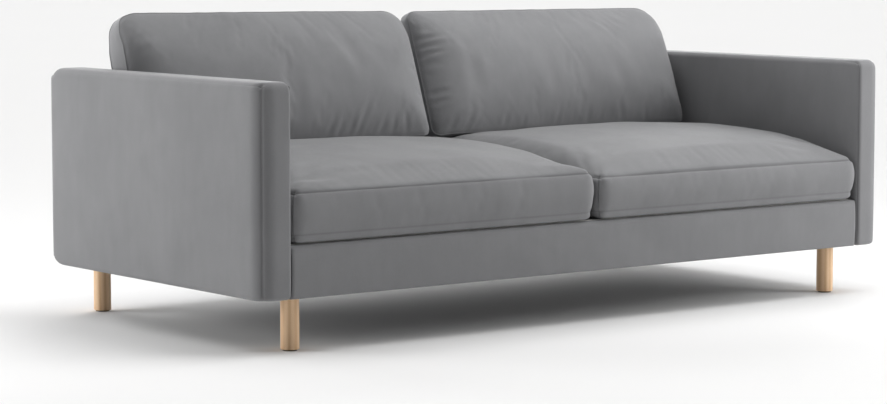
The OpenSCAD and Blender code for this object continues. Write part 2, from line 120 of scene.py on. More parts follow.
class Val:
    """One number inside a material. Arithmetic on it adds Math nodes."""

    def __init__(self, finish, socket):
        self.finish = finish
        self.socket = socket

    def math(self, operation, *others):
        node = self.finish.node("ShaderNodeMath", {"operation": operation}, dict(enumerate((self, *others))))
        return Val(self.finish, node.outputs[0])

    def __add__(self, other):
        return self.math("ADD", other)

    __radd__ = __add__

    def __mul__(self, other):
        return self.math("MULTIPLY", other)

    __rmul__ = __mul__

    def __sub__(self, other):
        return self.math("SUBTRACT", other)

    def __rsub__(self, other):
        node = self.finish.node("ShaderNodeMath", {"operation": "SUBTRACT"}, {0: other, 1: self})
        return Val(self.finish, node.outputs[0])

    def step(self, low, high):
        """0 below low and 1 above high, with a smooth change between them."""
        node = self.finish.node(
            "ShaderNodeMapRange", {"interpolation_type": "SMOOTHSTEP"},
            {"Value": self, "From Min": low, "From Max": high, "To Min": 0.0, "To Max": 1.0})
        return Val(self.finish, node.outputs["Result"])


SHADER_SOCKETS = {
    "metallic": "Metallic",
    "coat_weight": "Coat Weight",
    "coat_roughness": "Coat Roughness",
    "sheen_weight": "Sheen Weight",
    "sheen_roughness": "Sheen Roughness",
    "specular": "Specular IOR Level",
}


class Finish:
    """A material under construction, ending in one Principled shader."""

    def __init__(self, name):
        self.mat = bpy.data.materials.new(name)
        self.mat.use_nodes = True
        self.tree = self.mat.node_tree
        self.shader = self.tree.nodes["Principled BSDF"]
        self.where = self.node("ShaderNodeTexCoord").outputs["Object"]

    def feed(self, socket, value):
        """Links a value that varies to a socket, or sets the socket to a plain value."""
        if isinstance(value, Val):
            value = value.socket
        if isinstance(value, bpy.types.NodeSocket):
            self.tree.links.new(value, socket)
        else:
            socket.default_value = value

    def node(self, kind, settings=None, inputs=None):
        """Adds a node, sets its settings, then the values or links of its sockets."""
        node = self.tree.nodes.new(kind)
        for key, value in (settings or {}).items():
            setattr(node, key, value)
        for key, value in (inputs or {}).items():
            self.feed(node.inputs[key], value)
        return node

    def placed(self, scale=(1.0, 1.0, 1.0), turn=(0.0, 0.0, 0.0)):
        """Object coordinates stretched and turned for a pattern."""
        return self.node(
            "ShaderNodeMapping", None,
            {"Vector": self.where, "Scale": scale, "Rotation": turn}).outputs[0]

    def noise(self, scale, detail=2.0, rough=0.5, where=None, bend=0.0):
        """Cloudy pattern from 0 to 1, with scale in repeats per metre."""
        node = self.node(
            "ShaderNodeTexNoise", {"noise_dimensions": "3D"},
            {"Vector": where or self.where, "Scale": scale, "Detail": detail, "Roughness": rough,
             "Distortion": bend})
        return Val(self, node.outputs["Fac"])

    def cells(self, scale, where=None):
        """Distance to the nearest of scattered points, for pores and foam cells."""
        node = self.node("ShaderNodeTexVoronoi", None, {"Vector": where or self.where, "Scale": scale})
        return Val(self, node.outputs["Distance"])

    def bands(self, scale, axis="X", bend=0.0, detail=1.0, where=None):
        """Parallel bands across an axis, from 0 to 1."""
        node = self.node(
            "ShaderNodeTexWave", {"wave_type": "BANDS", "bands_direction": axis},
            {"Vector": where or self.where, "Scale": scale, "Distortion": bend, "Detail": detail})
        return Val(self, node.outputs["Fac"])

    def attribute(self, name):
        """A number stored on the piece's own points."""
        node = self.node("ShaderNodeAttribute", {"attribute_type": "GEOMETRY", "attribute_name": name})
        return Val(self, node.outputs["Fac"])

    def blend(self, share, first, second):
        """Colour between first, at share 0, and second, at share 1."""
        node = self.node("ShaderNodeMix", {"data_type": "RGBA", "blend_type": "MIX"}, {0: share})
        for slot, value in ((6, first), (7, second)):
            varies = isinstance(value, bpy.types.NodeSocket)
            self.feed(node.inputs[slot], value if varies else (*value[:3], 1.0))
        return node.outputs[2]

    def relief(self, height, distance, strength=1.0, under=None):
        """A bump of the given height in metres, on top of the bump under it."""
        inputs = {"Height": height, "Distance": distance, "Strength": strength}
        if under is not None:
            inputs["Normal"] = under
        return self.node("ShaderNodeBump", None, inputs).outputs["Normal"]

    def done(self, base, rough, normal=None, **fixed):
        """Joins colour, roughness and relief to the shader and sets its fixed values."""
        for key, value in (("Base Color", base), ("Roughness", rough), ("Normal", normal)):
            if value is not None:
                self.feed(self.shader.inputs[key], value)
        for key, value in fixed.items():
            self.shader.inputs[SHADER_SOCKETS[key]].default_value = value
        return self.mat


FINISHES = {}


def finish_of(name, colours):
    """The named material, made the first time that it is asked for."""
    if name not in FINISHES:
        FINISHES[name] = MAKERS[name](colours)
    return FINISHES[name]


def shade(colour, factor, lift=0.0):
    """A colour made darker or lighter by a factor, then lifted by an amount."""
    return [min(1.0, c * factor + lift) for c in colour]


def upholstery(colours, name="upholstery", painted_light_gain=1.0):
    """Short dense pile: brushed patches, fine fibre relief, a sheen at grazing angles, drawn-in seams with
    painted shade along them, and a factor above 1 that pales it all over as painted light.
    """
    f = Finish(name)
    # Painted light: the factor pales both fabric tones all over, standing in for more light falling on the
    # piece
    pale = shade(colours.fabric, painted_light_gain)
    brushed = f.noise(5.0, 3.0, 0.55, bend=0.6)
    streaks = f.noise(1.0, 3.0, 0.6, where=f.placed((26.0, 26.0, 8.0)))
    pile = f.noise(1500.0, 2.0, 0.7)
    lumps = f.noise(310.0, 2.0, 0.6)
    seam = f.attribute("seam")
    nap = brushed * 0.55 + streaks * 0.3 + lumps * 0.15
    deep = f.blend(nap.step(0.22, 0.78), shade(colours.fabric_deep, painted_light_gain), pale)
    speckled = f.blend(pile.step(0.30, 0.72) * 0.22, deep, shade(pale, 1.35))
    # Painted shade: the fabric darkens to near black along each seam's groove, as strongly as the seam layer
    # says
    shaded = f.blend(seam * 0.45, speckled, shade(colours.fabric_deep, 0.35))
    normal = f.relief(lumps, 0.35 * MM, 0.5)
    normal = f.relief(pile, 0.30 * MM, 0.8, normal)
    return f.done(
        shaded, 0.86 - nap * 0.10, normal, sheen_weight=0.22, sheen_roughness=0.45, specular=0.25)


def leg_wood(colours):
    """Pale close-grained wood: straight figure up the leg, fine rays and a thin matt varnish."""
    f = Finish("leg_wood")
    figure = f.bands(22.0, "X", 3.2, 2.0, where=f.placed((1.0, 1.0, 0.10), (0.0, 0.03, 0.5)))
    fibre = f.noise(1.0, 4.0, 0.6, where=f.placed((520.0, 520.0, 14.0)))
    rays = f.noise(1.0, 1.0, 0.5, where=f.placed((1300.0, 1300.0, 150.0)))
    cloud = f.noise(9.0, 2.0, 0.5)
    grain = figure * 0.45 + fibre * 0.35 + cloud * 0.2
    body = f.blend(grain.step(0.28, 0.82), colours.wood, colours.wood_deep)
    flecked = f.blend(rays.step(0.62, 0.78) * 0.45, body, shade(colours.wood_deep, 0.72))
    normal = f.relief(fibre, 0.12 * MM, 0.5)
    normal = f.relief(1 - rays.step(0.62, 0.78), 0.08 * MM, 0.5, normal)
    return f.done(flecked, 0.42 + fibre * 0.16, normal, coat_weight=0.12, coat_roughness=0.35)


def frame_timber(colours):
    """Sawn softwood with growth bands and saw marks."""
    f = Finish("frame_timber")
    figure = f.bands(16.0, "Z", 5.0, 3.0, where=f.placed((0.12, 1.0, 1.0), (0.2, 0.0, 0.0)))
    fibre = f.noise(1.0, 4.0, 0.6, where=f.placed((12.0, 260.0, 260.0)))
    saw = f.bands(160.0, "X", 0.6, 1.0)
    body = f.blend((figure * 0.6 + fibre * 0.4).step(0.2, 0.9), colours.timber, shade(colours.timber, 0.62))
    normal = f.relief(saw * 0.4 + fibre * 0.6, 0.3 * MM, 0.5)
    return f.done(body, 0.66 + fibre * 0.2, normal, specular=0.3)


def thin_board(colours):
    """Pressed board: fine flakes in two browns."""
    f = Finish("board")
    flakes = f.cells(420.0, f.placed((1.0, 0.45, 1.0)))
    dust = f.noise(60.0, 4.0, 0.6)
    body = f.blend(flakes.step(0.1, 0.7) * 0.6 + dust * 0.3, colours.board, shade(colours.board, 1.5))
    return f.done(body, 0.75 + dust * 0.15, f.relief(flakes, 0.15 * MM, 0.5), specular=0.25)


def soft_foam(colours):
    """Open-cell foam: pale yellow with fine pores."""
    f = Finish("foam")
    pores = f.cells(620.0)
    age = f.noise(7.0, 3.0, 0.5)
    body = f.blend((1 - pores.step(0.1, 0.5)) * 0.5 + age * 0.2, colours.foam, shade(colours.foam, 0.7))
    return f.done(body, 0.92, f.relief(pores, 0.5 * MM, 0.7), specular=0.1)


def white_fibre(colours):
    """Bonded polyester fibre: white and tangled."""
    f = Finish("fibre")
    tangle = f.noise(260.0, 5.0, 0.7, bend=1.5)
    lumps = f.noise(28.0, 3.0, 0.5)
    body = f.blend(tangle * 0.5 + lumps * 0.3, colours.fibre, shade(colours.fibre, 0.78))
    return f.done(body, 0.95, f.relief(tangle + lumps, 0.8 * MM, 0.6), specular=0.1)


def woven(name, colour_name, pitch, rough, light=1.7):
    """A maker of plain-woven cloth with threads at the given pitch in metres."""
    def make(colours):
        f = Finish(name)
        base = getattr(colours, colour_name)
        per_metre = math.tau / pitch / 20.0
        across = f.bands(per_metre, "X", 0.15, 1.0)
        along = f.bands(per_metre, "Y", 0.15, 1.0)
        upright = f.bands(per_metre, "Z", 0.15, 1.0)
        threads = across * 0.4 + along * 0.3 + upright * 0.3
        wear = f.noise(11.0, 3.0, 0.5)
        body = f.blend(threads * 0.7 + wear * 0.3, base, shade(base, light))
        return f.done(body, rough + threads * 0.08, f.relief(threads, 0.25 * MM, 0.6), sheen_weight=0.1)
    return make


def felt(colours):
    """Thin black felt: matted fibre with faint pressed dots."""
    f = Finish("dust_cloth")
    mat_fibre = f.noise(900.0, 4.0, 0.7, bend=0.8)
    dots = f.cells(240.0)
    body = f.blend(mat_fibre.step(0.35, 0.75) * 0.6, colours.dust_cloth, shade(colours.dust_cloth, 3.0))
    normal = f.relief(mat_fibre * 0.6 + dots * 0.4, 0.2 * MM, 0.6)
    return f.done(body, 0.9 + mat_fibre * 0.08, normal, specular=0.15)


def moulded(name, colour_name, rough):
    """A maker of moulded plastic with a fine spark-eroded grain."""
    def make(colours):
        f = Finish(name)
        base = getattr(colours, colour_name)
        grain = f.noise(1600.0, 2.0, 0.6)
        scuffs = f.noise(90.0, 4.0, 0.7, bend=1.0)
        body = f.blend(scuffs.step(0.45, 0.8) * 0.35, base, shade(base, 1.8, 0.01))
        return f.done(body, rough + scuffs * 0.2, f.relief(grain, 0.06 * MM, 0.5), specular=0.45)
    return make


def metal(name, colour_name, rough, drawn):
    """A maker of bare or plated steel, with fine marks along its making."""
    def make(colours):
        f = Finish(name)
        base = getattr(colours, colour_name)
        marks = f.noise(1.0, 3.0, 0.6, where=f.placed(drawn))
        stain = f.noise(45.0, 3.0, 0.6)
        body = f.blend(stain.step(0.4, 0.75) * 0.4, base, shade(base, 0.62))
        normal = f.relief(marks, 0.05 * MM, 0.5)
        return f.done(body, rough + marks * 0.15 + stain * 0.1, normal, metallic=1.0)
    return make


def back_cushion_fabric(colours):
    """The same fabric made about a sixth paler all over: painted light, standing in for more light on the
    back cushions.
    """
    return upholstery(colours, "back_cushion_fabric", 1.16)


MAKERS = {
    "upholstery": upholstery,
    "back_cushion_fabric": back_cushion_fabric,
    "leg_wood": leg_wood,
    "frame_timber": frame_timber,
    "board": thin_board,
    "foam": soft_foam,
    "fibre": white_fibre,
    "lining": woven("lining", "lining", 1.6 * MM, 0.78),
    "dust_cloth": felt,
    "zip": woven("zip", "zip_tape", 0.9 * MM, 0.5, 2.2),
    "glide": moulded("glide", "glide", 0.42),
    "bright_steel": metal("bright_steel", "steel", 0.22, (300.0, 300.0, 1500.0)),
    "spring_steel": metal("spring_steel", "spring", 0.34, (900.0, 60.0, 900.0)),
}


# ---------- shape tools ----------

# Two places closer than this count as one
TOUCH = 1e-6
# Width of the painted shade line along a seam
SEAM_LINE = 2.2 * MM
SEAM_RIDGE_HEIGHT = 0.75
SEAM_RIDGE_WIDTH = 0.27


def spaced(low, high, step, near_low=(), near_high=()):
    """Places from low to high at about one step, with closer ones at given distances from each end."""
    first = [low + d for d in near_low]
    last = [high - d for d in reversed(near_high)]
    start = first[-1] if first else low
    end = last[0] if last else high
    count = max(1, round((end - start) / step))
    middle = [start + (end - start) * k / count for k in range(count + 1)]
    return sorted({round(p, 6) for p in [low, high, *first, *middle, *last]})


def grid_box(xs, ys, zs):
    """A closed box of quads, cut at the given places along each axis."""
    bm = bmesh.new()
    bmesh.ops.create_cube(bm, size=1.0)
    bmesh.ops.translate(bm, verts=bm.verts, vec=(0.5, 0.5, 0.5))
    for axis, places in enumerate((xs, ys, zs)):
        along = [
            e for e in bm.edges
            if abs(e.verts[0].co[axis] - e.verts[1].co[axis]) > 0.5]
        bmesh.ops.subdivide_edges(bm, edges=along, cuts=len(places) - 2, use_grid_fill=True)
    for v in bm.verts:
        v.co = Vector(
            places[round(v.co[axis] * (len(places) - 1))] for axis, places in enumerate((xs, ys, zs)))
    return bm


def round_corner(bm, axes, corner, inward, radius):
    """Turns the square corner of a box, seen along the third axis, into a round one."""
    a, b = axes
    for v in bm.verts:
        across = (v.co[a] - corner[0]) * inward[0]
        along = (v.co[b] - corner[1]) * inward[1]
        da = radius - across
        db = radius - along
        if da <= 0 or db <= 0 or across < -TOUCH or along < -TOUCH:
            continue
        shrink = max(da, db) / math.hypot(da, db)
        v.co[a] = corner[0] + inward[0] * (radius - da * shrink)
        v.co[b] = corner[1] + inward[1] * (radius - db * shrink)


def round_corners(bm, axes, low, high, radii):
    """Rounds a box's corners, in the order low-low, low-high, high-low, high-high. 0 leaves one square."""
    a, b = axes
    for (into_a, into_b), radius in zip(((1, 1), (1, -1), (-1, 1), (-1, -1)), radii):
        corner = ((low if into_a > 0 else high)[a], (low if into_b > 0 else high)[b])
        if radius:
            round_corner(bm, axes, corner, (into_a, into_b), radius)


def smooth_between(table, place):
    """Value at a place in a table of rows, on a smooth curve through them."""
    if place <= table[0][0]:
        return table[0][1]
    if place >= table[-1][0]:
        return table[-1][1]
    k = next(i for i in range(len(table) - 1) if place <= table[i + 1][0])
    p0, v0 = table[k]
    p1, v1 = table[k + 1]
    slope = (v1 - v0) / (p1 - p0)
    before = (v0 - table[k - 1][1]) / (p0 - table[k - 1][0]) if k else slope
    after = (table[k + 2][1] - v1) / (table[k + 2][0] - p1) if k + 2 < len(table) else slope
    m0 = (before + slope) / 2 * (p1 - p0)
    m1 = (slope + after) / 2 * (p1 - p0)
    t = (place - p0) / (p1 - p0)
    return ((2 * t ** 3 - 3 * t ** 2 + 1) * v0 + (t ** 3 - 2 * t ** 2 + t) * m0
            + (3 * t ** 2 - 2 * t ** 3) * v1 + (t ** 3 - t ** 2) * m1)


def centred(place, low, high):
    """A place between two others, as a number from -1 to 1."""
    return (place - low) / (high - low) * 2 - 1


def bell(distance, width):
    """1 at no distance, falling smoothly to nothing at a few widths."""
    return math.exp(-(distance / width) ** 2)


def wave(point, size, seed):
    """Gentle unevenness from -1 to 1, with bumps of about one size."""
    return noise.noise(Vector(point) / size + Vector((seed * 7.31, seed * 3.77, seed * 1.93)))


def seam_profile(distance, depth, reach):
    """Height of the fabric beside a seam: drawn in on both sides of a fine raised line."""
    ridge = bell(distance, reach * SEAM_RIDGE_WIDTH)
    return -depth * bell(distance, reach) + depth * SEAM_RIDGE_HEIGHT * ridge


def start_piece(xs, ys, zs):
    """A grid box, a layer for how close each vertex is to a seam (where painted seam shade falls), and the
    unshaped place of each vertex.
    """
    bm = grid_box(xs, ys, zs)
    seam = bm.verts.layers.float.new("seam")
    return bm, seam, [v.co.copy() for v in bm.verts]


def right_hand_box(node, sign):
    """A node's box, turned over to the positive side of X, where the pieces of both sides are built."""
    low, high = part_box(node)
    if sign < 0:
        low.x, high.x = -high.x, -low.x
    return low, high


def push(bm, amounts):
    """Moves each vertex along its normal by its amount, all at once."""
    bm.normal_update()
    normals = [v.normal.copy() for v in bm.verts]
    for v, normal, amount in zip(bm.verts, normals, amounts):
        v.co += normal * amount


def piece(name, bm, finish, body, replaced=(), levels=1, mirrored=False):
    """Turns a bmesh into a finished piece that rides on a body, stands for CAD nodes and may be mirrored."""
    if mirrored:
        bmesh.ops.scale(bm, vec=(-1, 1, 1), verts=bm.verts)
    bmesh.ops.recalc_face_normals(bm, faces=bm.faces)
    mesh = bpy.data.meshes.new(name)
    bm.to_mesh(mesh)
    bm.free()
    mesh.polygons.foreach_set("use_smooth", [True] * len(mesh.polygons))
    obj = bpy.data.objects.new(name, mesh)
    bpy.context.scene.collection.objects.link(obj)
    obj.data.materials.append(finish)
    if levels:
        rounded = obj.modifiers.new("Rounded", "SUBSURF")
        rounded.levels = levels
        rounded.render_levels = levels
    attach(obj, body)
    if replaced:
        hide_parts(*replaced)
    return obj


def user_values():
    """Sizes and colours as the user has set them."""
    return bpy.context.scene.sofa_sizes, bpy.context.scene.sofa_colours


# ---------- arms ----------

ARM_EDGE_R = 14 * MM
ARM_OUTER_EDGE_R = 24 * MM
ARM_FRONT_TOP_R = 24 * MM
ARM_BACK_R = 34 * MM
ARM_TOP_R = 54 * MM
ARM_HEEL_R = 62 * MM
ARM_INNER_R = 10 * MM
ARM_LOW_R = 11 * MM
ARM_STEPS = (6 * MM, 15 * MM, 14 * MM)
ARM_SEAM_CUTS = tuple(d * MM for d in (1.6, 3.4, 6, 9, 13, 18, 24, 31, 38, 46))
ARM_SEAM_CUTS_INNER = tuple(d * MM for d in (1.5, 3.0, 4.8, 7, 10, 14))
# How strongly the seams' grooves and their painted shade show along the top and back, and how soon they fade
# behind the front corner
ARM_SEAM_FAINT = 0.22
ARM_SEAM_FADE = 26 * MM
ARM_SAG = 0.7 * MM
ARM_PUCKER = 0.35


def arm_seam_distance(co, low, high):
    """Distance along the fabric to the nearer of the two seams beside the arm's front, top and back strip."""
    on_strip = min(co.y - low.y, high.z - co.z, high.y - co.y)
    across = min(co.x - low.x, high.x - co.x)
    return max(on_strip, 0.0) if across < TOUCH else across if on_strip < TOUCH else 1.0


def seam_share(at, low):
    """How strongly an arm's seam grooves and painted seam shade show: fully at the front corner, and faintly
    along the top and back.
    """
    fading = bell(max(0.0, at.y - low.y - ARM_FRONT_TOP_R), ARM_SEAM_FADE)
    return ARM_SEAM_FAINT + (1 - ARM_SEAM_FAINT) * fading


def arm(side, sign, sizes, finish):
    """One padded arm, with a strip over its front, top and back seamed to both side panels."""
    low, high = right_hand_box(f"{side}_arm_cover", sign)
    bm, seam, square = start_piece(
        spaced(low.x, high.x, ARM_STEPS[0], ARM_SEAM_CUTS_INNER, ARM_SEAM_CUTS[:8]),
        spaced(low.y, high.y, ARM_STEPS[1], ARM_SEAM_CUTS, ARM_SEAM_CUTS),
        spaced(low.z, high.z, ARM_STEPS[2], ARM_SEAM_CUTS, ARM_SEAM_CUTS))
    # The seam layer sets where painted shade darkens the fabric along the strip's seams
    for v in bm.verts:
        v[seam] = bell(arm_seam_distance(v.co, low, high), SEAM_LINE) * seam_share(v.co, low)
    round_corners(bm, (0, 2), low, high, (ARM_LOW_R, ARM_EDGE_R, ARM_LOW_R, ARM_OUTER_EDGE_R))
    round_corners(bm, (1, 2), low, high, (ARM_LOW_R, ARM_FRONT_TOP_R, ARM_HEEL_R, ARM_TOP_R))
    round_corners(bm, (0, 1), low, high, (ARM_INNER_R, ARM_INNER_R, sizes.arm_front_r, ARM_BACK_R))
    amounts = []
    for at in square:
        u = centred(at.y, low.y, high.y)
        w = centred(at.z, low.z, high.z)
        on_side = at.x - low.x < TOUCH or high.x - at.x < TOUCH
        full = max(0.0, 1 - u ** 4) * max(0.0, 1 - w ** 4)
        swell = sizes.arm_swell * full if on_side else sizes.arm_swell * 0.5 * (1 - w ** 8)
        sag = ARM_SAG * wave(at, 0.16, 1 + sign) * full
        pucker = 1 + ARM_PUCKER * wave(at, 0.022, 3 + sign)
        beside = seam_profile(arm_seam_distance(at, low, high), sizes.seam_depth * pucker, sizes.seam_reach)
        amounts.append(swell + sag + beside * seam_share(at, low))
    push(bm, amounts)
    return piece(
        f"{side}_arm_upholstery", bm, finish, "frame",
        (f"{side}_arm_cover", f"{side}_arm_padding"), mirrored=sign < 0)


class SOFA_OT_arms(bpy.types.Operator):
    """Build both padded arms"""

    bl_idname = "sofa.arms"
    bl_label = "Arms"

    def execute(self, context):
        sizes, colours = user_values()
        for side, sign in SIDES:
            arm(side, sign, sizes, finish_of("upholstery", colours))
        return {"FINISHED"}


# ---------- front rail ----------

RAIL_CUTS = tuple(d * MM for d in (2, 4.5, 8, 12, 17))
RAIL_TOP_R = 14 * MM
RAIL_LOW_R = 5 * MM
RAIL_END_R = 9 * MM
RAIL_SAG = 0.9 * MM


class SOFA_OT_front_rail(bpy.types.Operator):
    """Build the padded fabric over the front rail"""

    bl_idname = "sofa.front_rail"
    bl_label = "Front rail"

    def execute(self, context):
        sizes, colours = user_values()
        low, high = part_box("front_cover")
        bm, _, square = start_piece(
            spaced(low.x, high.x, 22 * MM, RAIL_CUTS, RAIL_CUTS),
            spaced(low.y, high.y, 6 * MM, RAIL_CUTS[:4], (3 * MM,)),
            spaced(low.z, high.z, 9 * MM, RAIL_CUTS[:3], RAIL_CUTS[:4]))
        round_corners(bm, (1, 2), low, high, (RAIL_LOW_R, RAIL_TOP_R, 0, 0))
        round_corners(bm, (0, 1), low, high, (RAIL_END_R, 0, RAIL_END_R, 0))
        amounts = []
        for at in square:
            w = centred(at.z, low.z, high.z)
            facing = 1.0 if at.y - low.y < TOUCH else 0.0
            swell = sizes.rail_swell * (1 - w ** 2) * facing
            sag = RAIL_SAG * wave((at.x, at.y, at.z * 1.6), 0.11, 5) * facing
            amounts.append(swell + sag)
        push(bm, amounts)
        rail = piece(
            "front_rail_upholstery", bm, finish_of("upholstery", colours), "frame",
            ("front_cover", "front_padding"))
        return {"FINISHED"}


# ---------- back rest ----------

REST_CUTS = tuple(d * MM for d in (2, 4.5, 8, 13, 19, 26, 34))
REST_LONG_STEP = 24 * MM
REST_TALL_STEP = 16 * MM
REST_FRONT_R = 34 * MM
REST_REAR_R = 30 * MM
REST_SWELL = 2 * MM
REST_UNEVEN = 1 * MM
# How far the inside back's fabric is pulled in behind the outside panel
REST_TUCK = 9 * MM
PANEL_LOW_R = 6 * MM
PANEL_EDGE_R = 4 * MM
PANEL_UNEVEN = 0.8 * MM
# The panel's stitched line: how far in from its rim, its width and its depth
PANEL_STITCH = (9 * MM, 2.4 * MM, 1.2 * MM)


def inside_back(low, high, lap, finish):
    """The padded inside back with its rounded top. The outside panel laps over it up to one level."""
    bm, seam, square = start_piece(
        spaced(low.x, high.x, REST_LONG_STEP, REST_CUTS[:5], REST_CUTS[:5]),
        spaced(low.y, high.y, 10 * MM, REST_CUTS, REST_CUTS[:6]),
        spaced(low.z, high.z, REST_TALL_STEP, REST_CUTS[:2], REST_CUTS))
    # Painted shade along the line where the outside panel laps over the inside back
    for v in bm.verts:
        behind = abs(v.co.z - lap) if high.y - v.co.y < TOUCH else 1.0
        v[seam] = bell(behind, 3 * MM)
    round_corners(bm, (1, 2), low, high, (0, REST_FRONT_R, 0, REST_REAR_R))
    amounts = []
    for at in square:
        u = at.x / high.x
        w = centred(at.z, low.z, high.z)
        facing = 1.0 if at.y - low.y < TOUCH else 0.0
        tuck = REST_TUCK if high.y - at.y < TOUCH and at.z < lap else 0.0
        swell = REST_SWELL * (1 - u ** 8) * (1 - w ** 4) * facing
        amounts.append(swell + REST_UNEVEN * wave(at, 0.2, 9) * facing - tuck)
    push(bm, amounts)
    return piece(
        "inside_back_upholstery", bm, finish, "frame", ("back_cover", "back_padding"))


def outside_back(low, high, finish):
    """The flat outside back, stitched down near its rim."""
    bm, seam, square = start_piece(
        spaced(low.x, high.x, REST_LONG_STEP, REST_CUTS[:5], REST_CUTS[:5]),
        spaced(low.y, high.y, 2.6 * MM),
        spaced(low.z, high.z, REST_TALL_STEP, REST_CUTS[:4], REST_CUTS[:4]))
    round_corners(bm, (1, 2), low, high, (0, 0, PANEL_LOW_R, PANEL_EDGE_R))
    round_corners(bm, (0, 1), low, high, (0, PANEL_EDGE_R, 0, PANEL_EDGE_R))
    inset, width, depth = PANEL_STITCH
    amounts = []
    for v, at in zip(bm.verts, square):
        rim = min(high.x - abs(at.x), at.z - low.z, high.z - at.z)
        outer = 1.0 if high.y - at.y < TOUCH else 0.0
        stitch = bell(rim - inset, width) * outer
        # Painted shade in the stitched groove
        v[seam] = stitch * 0.6
        amounts.append((PANEL_UNEVEN * wave(at, 0.24, 12) - depth * stitch) * outer)
    push(bm, amounts)
    return piece("outside_back_panel", bm, finish, "frame", ("back_panel",))


class SOFA_OT_back_rest(bpy.types.Operator):
    """Build the padded inside back with its rounded top, and the flat outside back"""

    bl_idname = "sofa.back_rest"
    bl_label = "Back rest"

    def execute(self, context):
        fabric = finish_of("upholstery", user_values()[1])
        panel_low, panel_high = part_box("back_panel")
        inside_back(*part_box("back_cover"), panel_high.z, fabric)
        outside_back(panel_low, panel_high, fabric)
        return {"FINISHED"}


# ---------- filled cushions ----------

# A light woven cover, blown up by a small pressure with its seams held
FILLING_CLOTH = {
    "quality": 5, "mass": 0.3, "tension_stiffness": 25, "compression_stiffness": 25, "shear_stiffness": 8,
    "bending_stiffness": 0.4, "use_pressure": True, "uniform_pressure_force": 4,
    "vertex_group_mass": "seams", "pin_stiffness": 1.0}
# A fold runs on past its ends by this share of its length, and fades out there
FOLD_OVERRUN = 0.15
FOLD_TAPER = 0.77
# The low ridge on each side of a fold: its height as a share of the depth, and its place in half widths
FOLD_RIDGE = 0.55
FOLD_RIDGE_PLACE = 1.9


def inflate(obj, puff, steps, slack, held):
    """Fills a closed cover by a short cloth run: panels swell between their seams, and held points stay."""
    rest = [v.co.copy() for v in obj.data.vertices]
    pins = obj.vertex_groups.new(name="seams")
    for index, weight in held:
        pins.add([index], weight, "REPLACE")
    cloth = obj.modifiers.new("Filling", "CLOTH")
    for key, value in FILLING_CLOTH.items():
        setattr(cloth.settings, key, value)
    cloth.settings.shrink_min = -slack
    cloth.settings.effector_weights.gravity = 0
    cloth.point_cache.frame_start = 1
    cloth.point_cache.frame_end = steps
    scene = bpy.context.scene
    for step in range(1, steps + 1):
        scene.frame_set(step)
    filled = obj.evaluated_get(bpy.context.evaluated_depsgraph_get())
    moved = [v.co.copy() for v in filled.data.vertices]
    obj.modifiers.remove(cloth)
    obj.vertex_groups.remove(pins)
    scene.frame_set(1)
    for v, start, end in zip(obj.data.vertices, rest, moved):
        shift = end - start
        if shift.length > puff:
            shift *= puff / shift.length
        v.co = start + shift


def fill(bm, puff, steps, slack, held):
    """Fills a bmesh. slack is the cover's spare length, and held is how firmly each vertex is held."""
    mesh = bpy.data.meshes.new("filling")
    bm.to_mesh(mesh)
    obj = bpy.data.objects.new("filling", mesh)
    bpy.context.scene.collection.objects.link(obj)
    inflate(obj, puff, steps, slack, [(k, share) for k, share in enumerate(held) if share > 0.01])
    for v, soft in zip(bm.verts, mesh.vertices):
        v.co = soft.co
    bpy.data.objects.remove(obj)
    bpy.data.meshes.remove(mesh)


def fold_depth(point, folds):
    """Depth of the folds at a point on a panel. A row is a fold's start, end, half width and depth, in mm."""
    total = 0.0
    for x0, v0, x1, v1, half_mm, depth in folds:
        ax, ay, bx, by, half = x0 * MM, v0 * MM, x1 * MM, v1 * MM, half_mm * MM
        length = math.hypot(bx - ax, by - ay)
        along = ((point[0] - ax) * (bx - ax) + (point[1] - ay) * (by - ay)) / length ** 2
        off = ((point[0] - ax) * (by - ay) - (point[1] - ay) * (bx - ax)) / length
        if abs(along - 0.5) >= 0.5 + FOLD_OVERRUN or abs(off) > half * 4:
            continue
        taper = math.cos(math.pi * min(0.5, abs(along - 0.5) * FOLD_TAPER)) ** 2
        place = half * FOLD_RIDGE_PLACE
        trough = bell(off, half) - FOLD_RIDGE * (bell(off - place, half) + bell(off + place, half))
        total += depth * MM * taper * trough
    return total


# ---------- seat cushions ----------

SEAT_LOW_SEAM = 20 * MM
SEAT_SEAM_RISE = {"left": 121 * MM, "right": 109 * MM}
# How far the top panel's edge stands above its seam's level
SEAT_EDGE_RISE = 3 * MM
SEAT_SIDE_CLEAR = 1.5 * MM
SEAT_FRONT_CLEAR = 3 * MM
SEAT_TOP_R = 13 * MM
SEAT_LOW_R = 14 * MM
SEAT_END_TOP_R = 20 * MM
SEAT_END_LOW_R = 24 * MM
SEAT_FRONT_R = 30 * MM
SEAT_REAR_R = 24 * MM
SEAT_STEP = 13 * MM
SEAT_CUTS = tuple(d * MM for d in (1.8, 4, 7, 11, 16, 22, 29, 37, 46))
SEAT_SEAM_CUTS = tuple(d * MM for d in (-6, -3.6, -1.6, 0, 1.6, 3.6, 6))
SEAT_TOP = 455 * MM
# How far the crown lies below the top, from front to back
SEAT_CROWN = tuple((y * MM, drop * MM) for y, drop in (
    (-502, 57), (-460, 50), (-400, 33), (-300, 16), (-180, 5), (-60, 0), (60, 1), (170, 7.5),
    (270, 18.5), (340, 28.5), (370, 33)))
SEAT_END_DROP = 21 * MM
SEAT_LEAST_CROWN = 12 * MM
SEAT_SLACK = 0.002
SEAT_ROLL = {"front": 62 * MM, "end": 58 * MM, "rear": 30 * MM}
SEAT_BORDER_SWELL = 5.5 * MM
SEAT_CORNER_SWELL = 4.5 * MM
SEAT_CORNER_REACH = 90 * MM
SEAT_TOP_UNEVEN = 1.8 * MM
SEAT_SIDE_UNEVEN = 1.3 * MM
# The back cushions rest on the seat: level at first, then on its fall towards the rear
BACK_REST_LEVEL = 451 * MM
BACK_REST_FRONT = 165 * MM
BACK_REST_FALL = 28.5 / 235.0
BACK_REST_EASE = 60 * MM
BACK_REST_GAP = 1.2 * MM

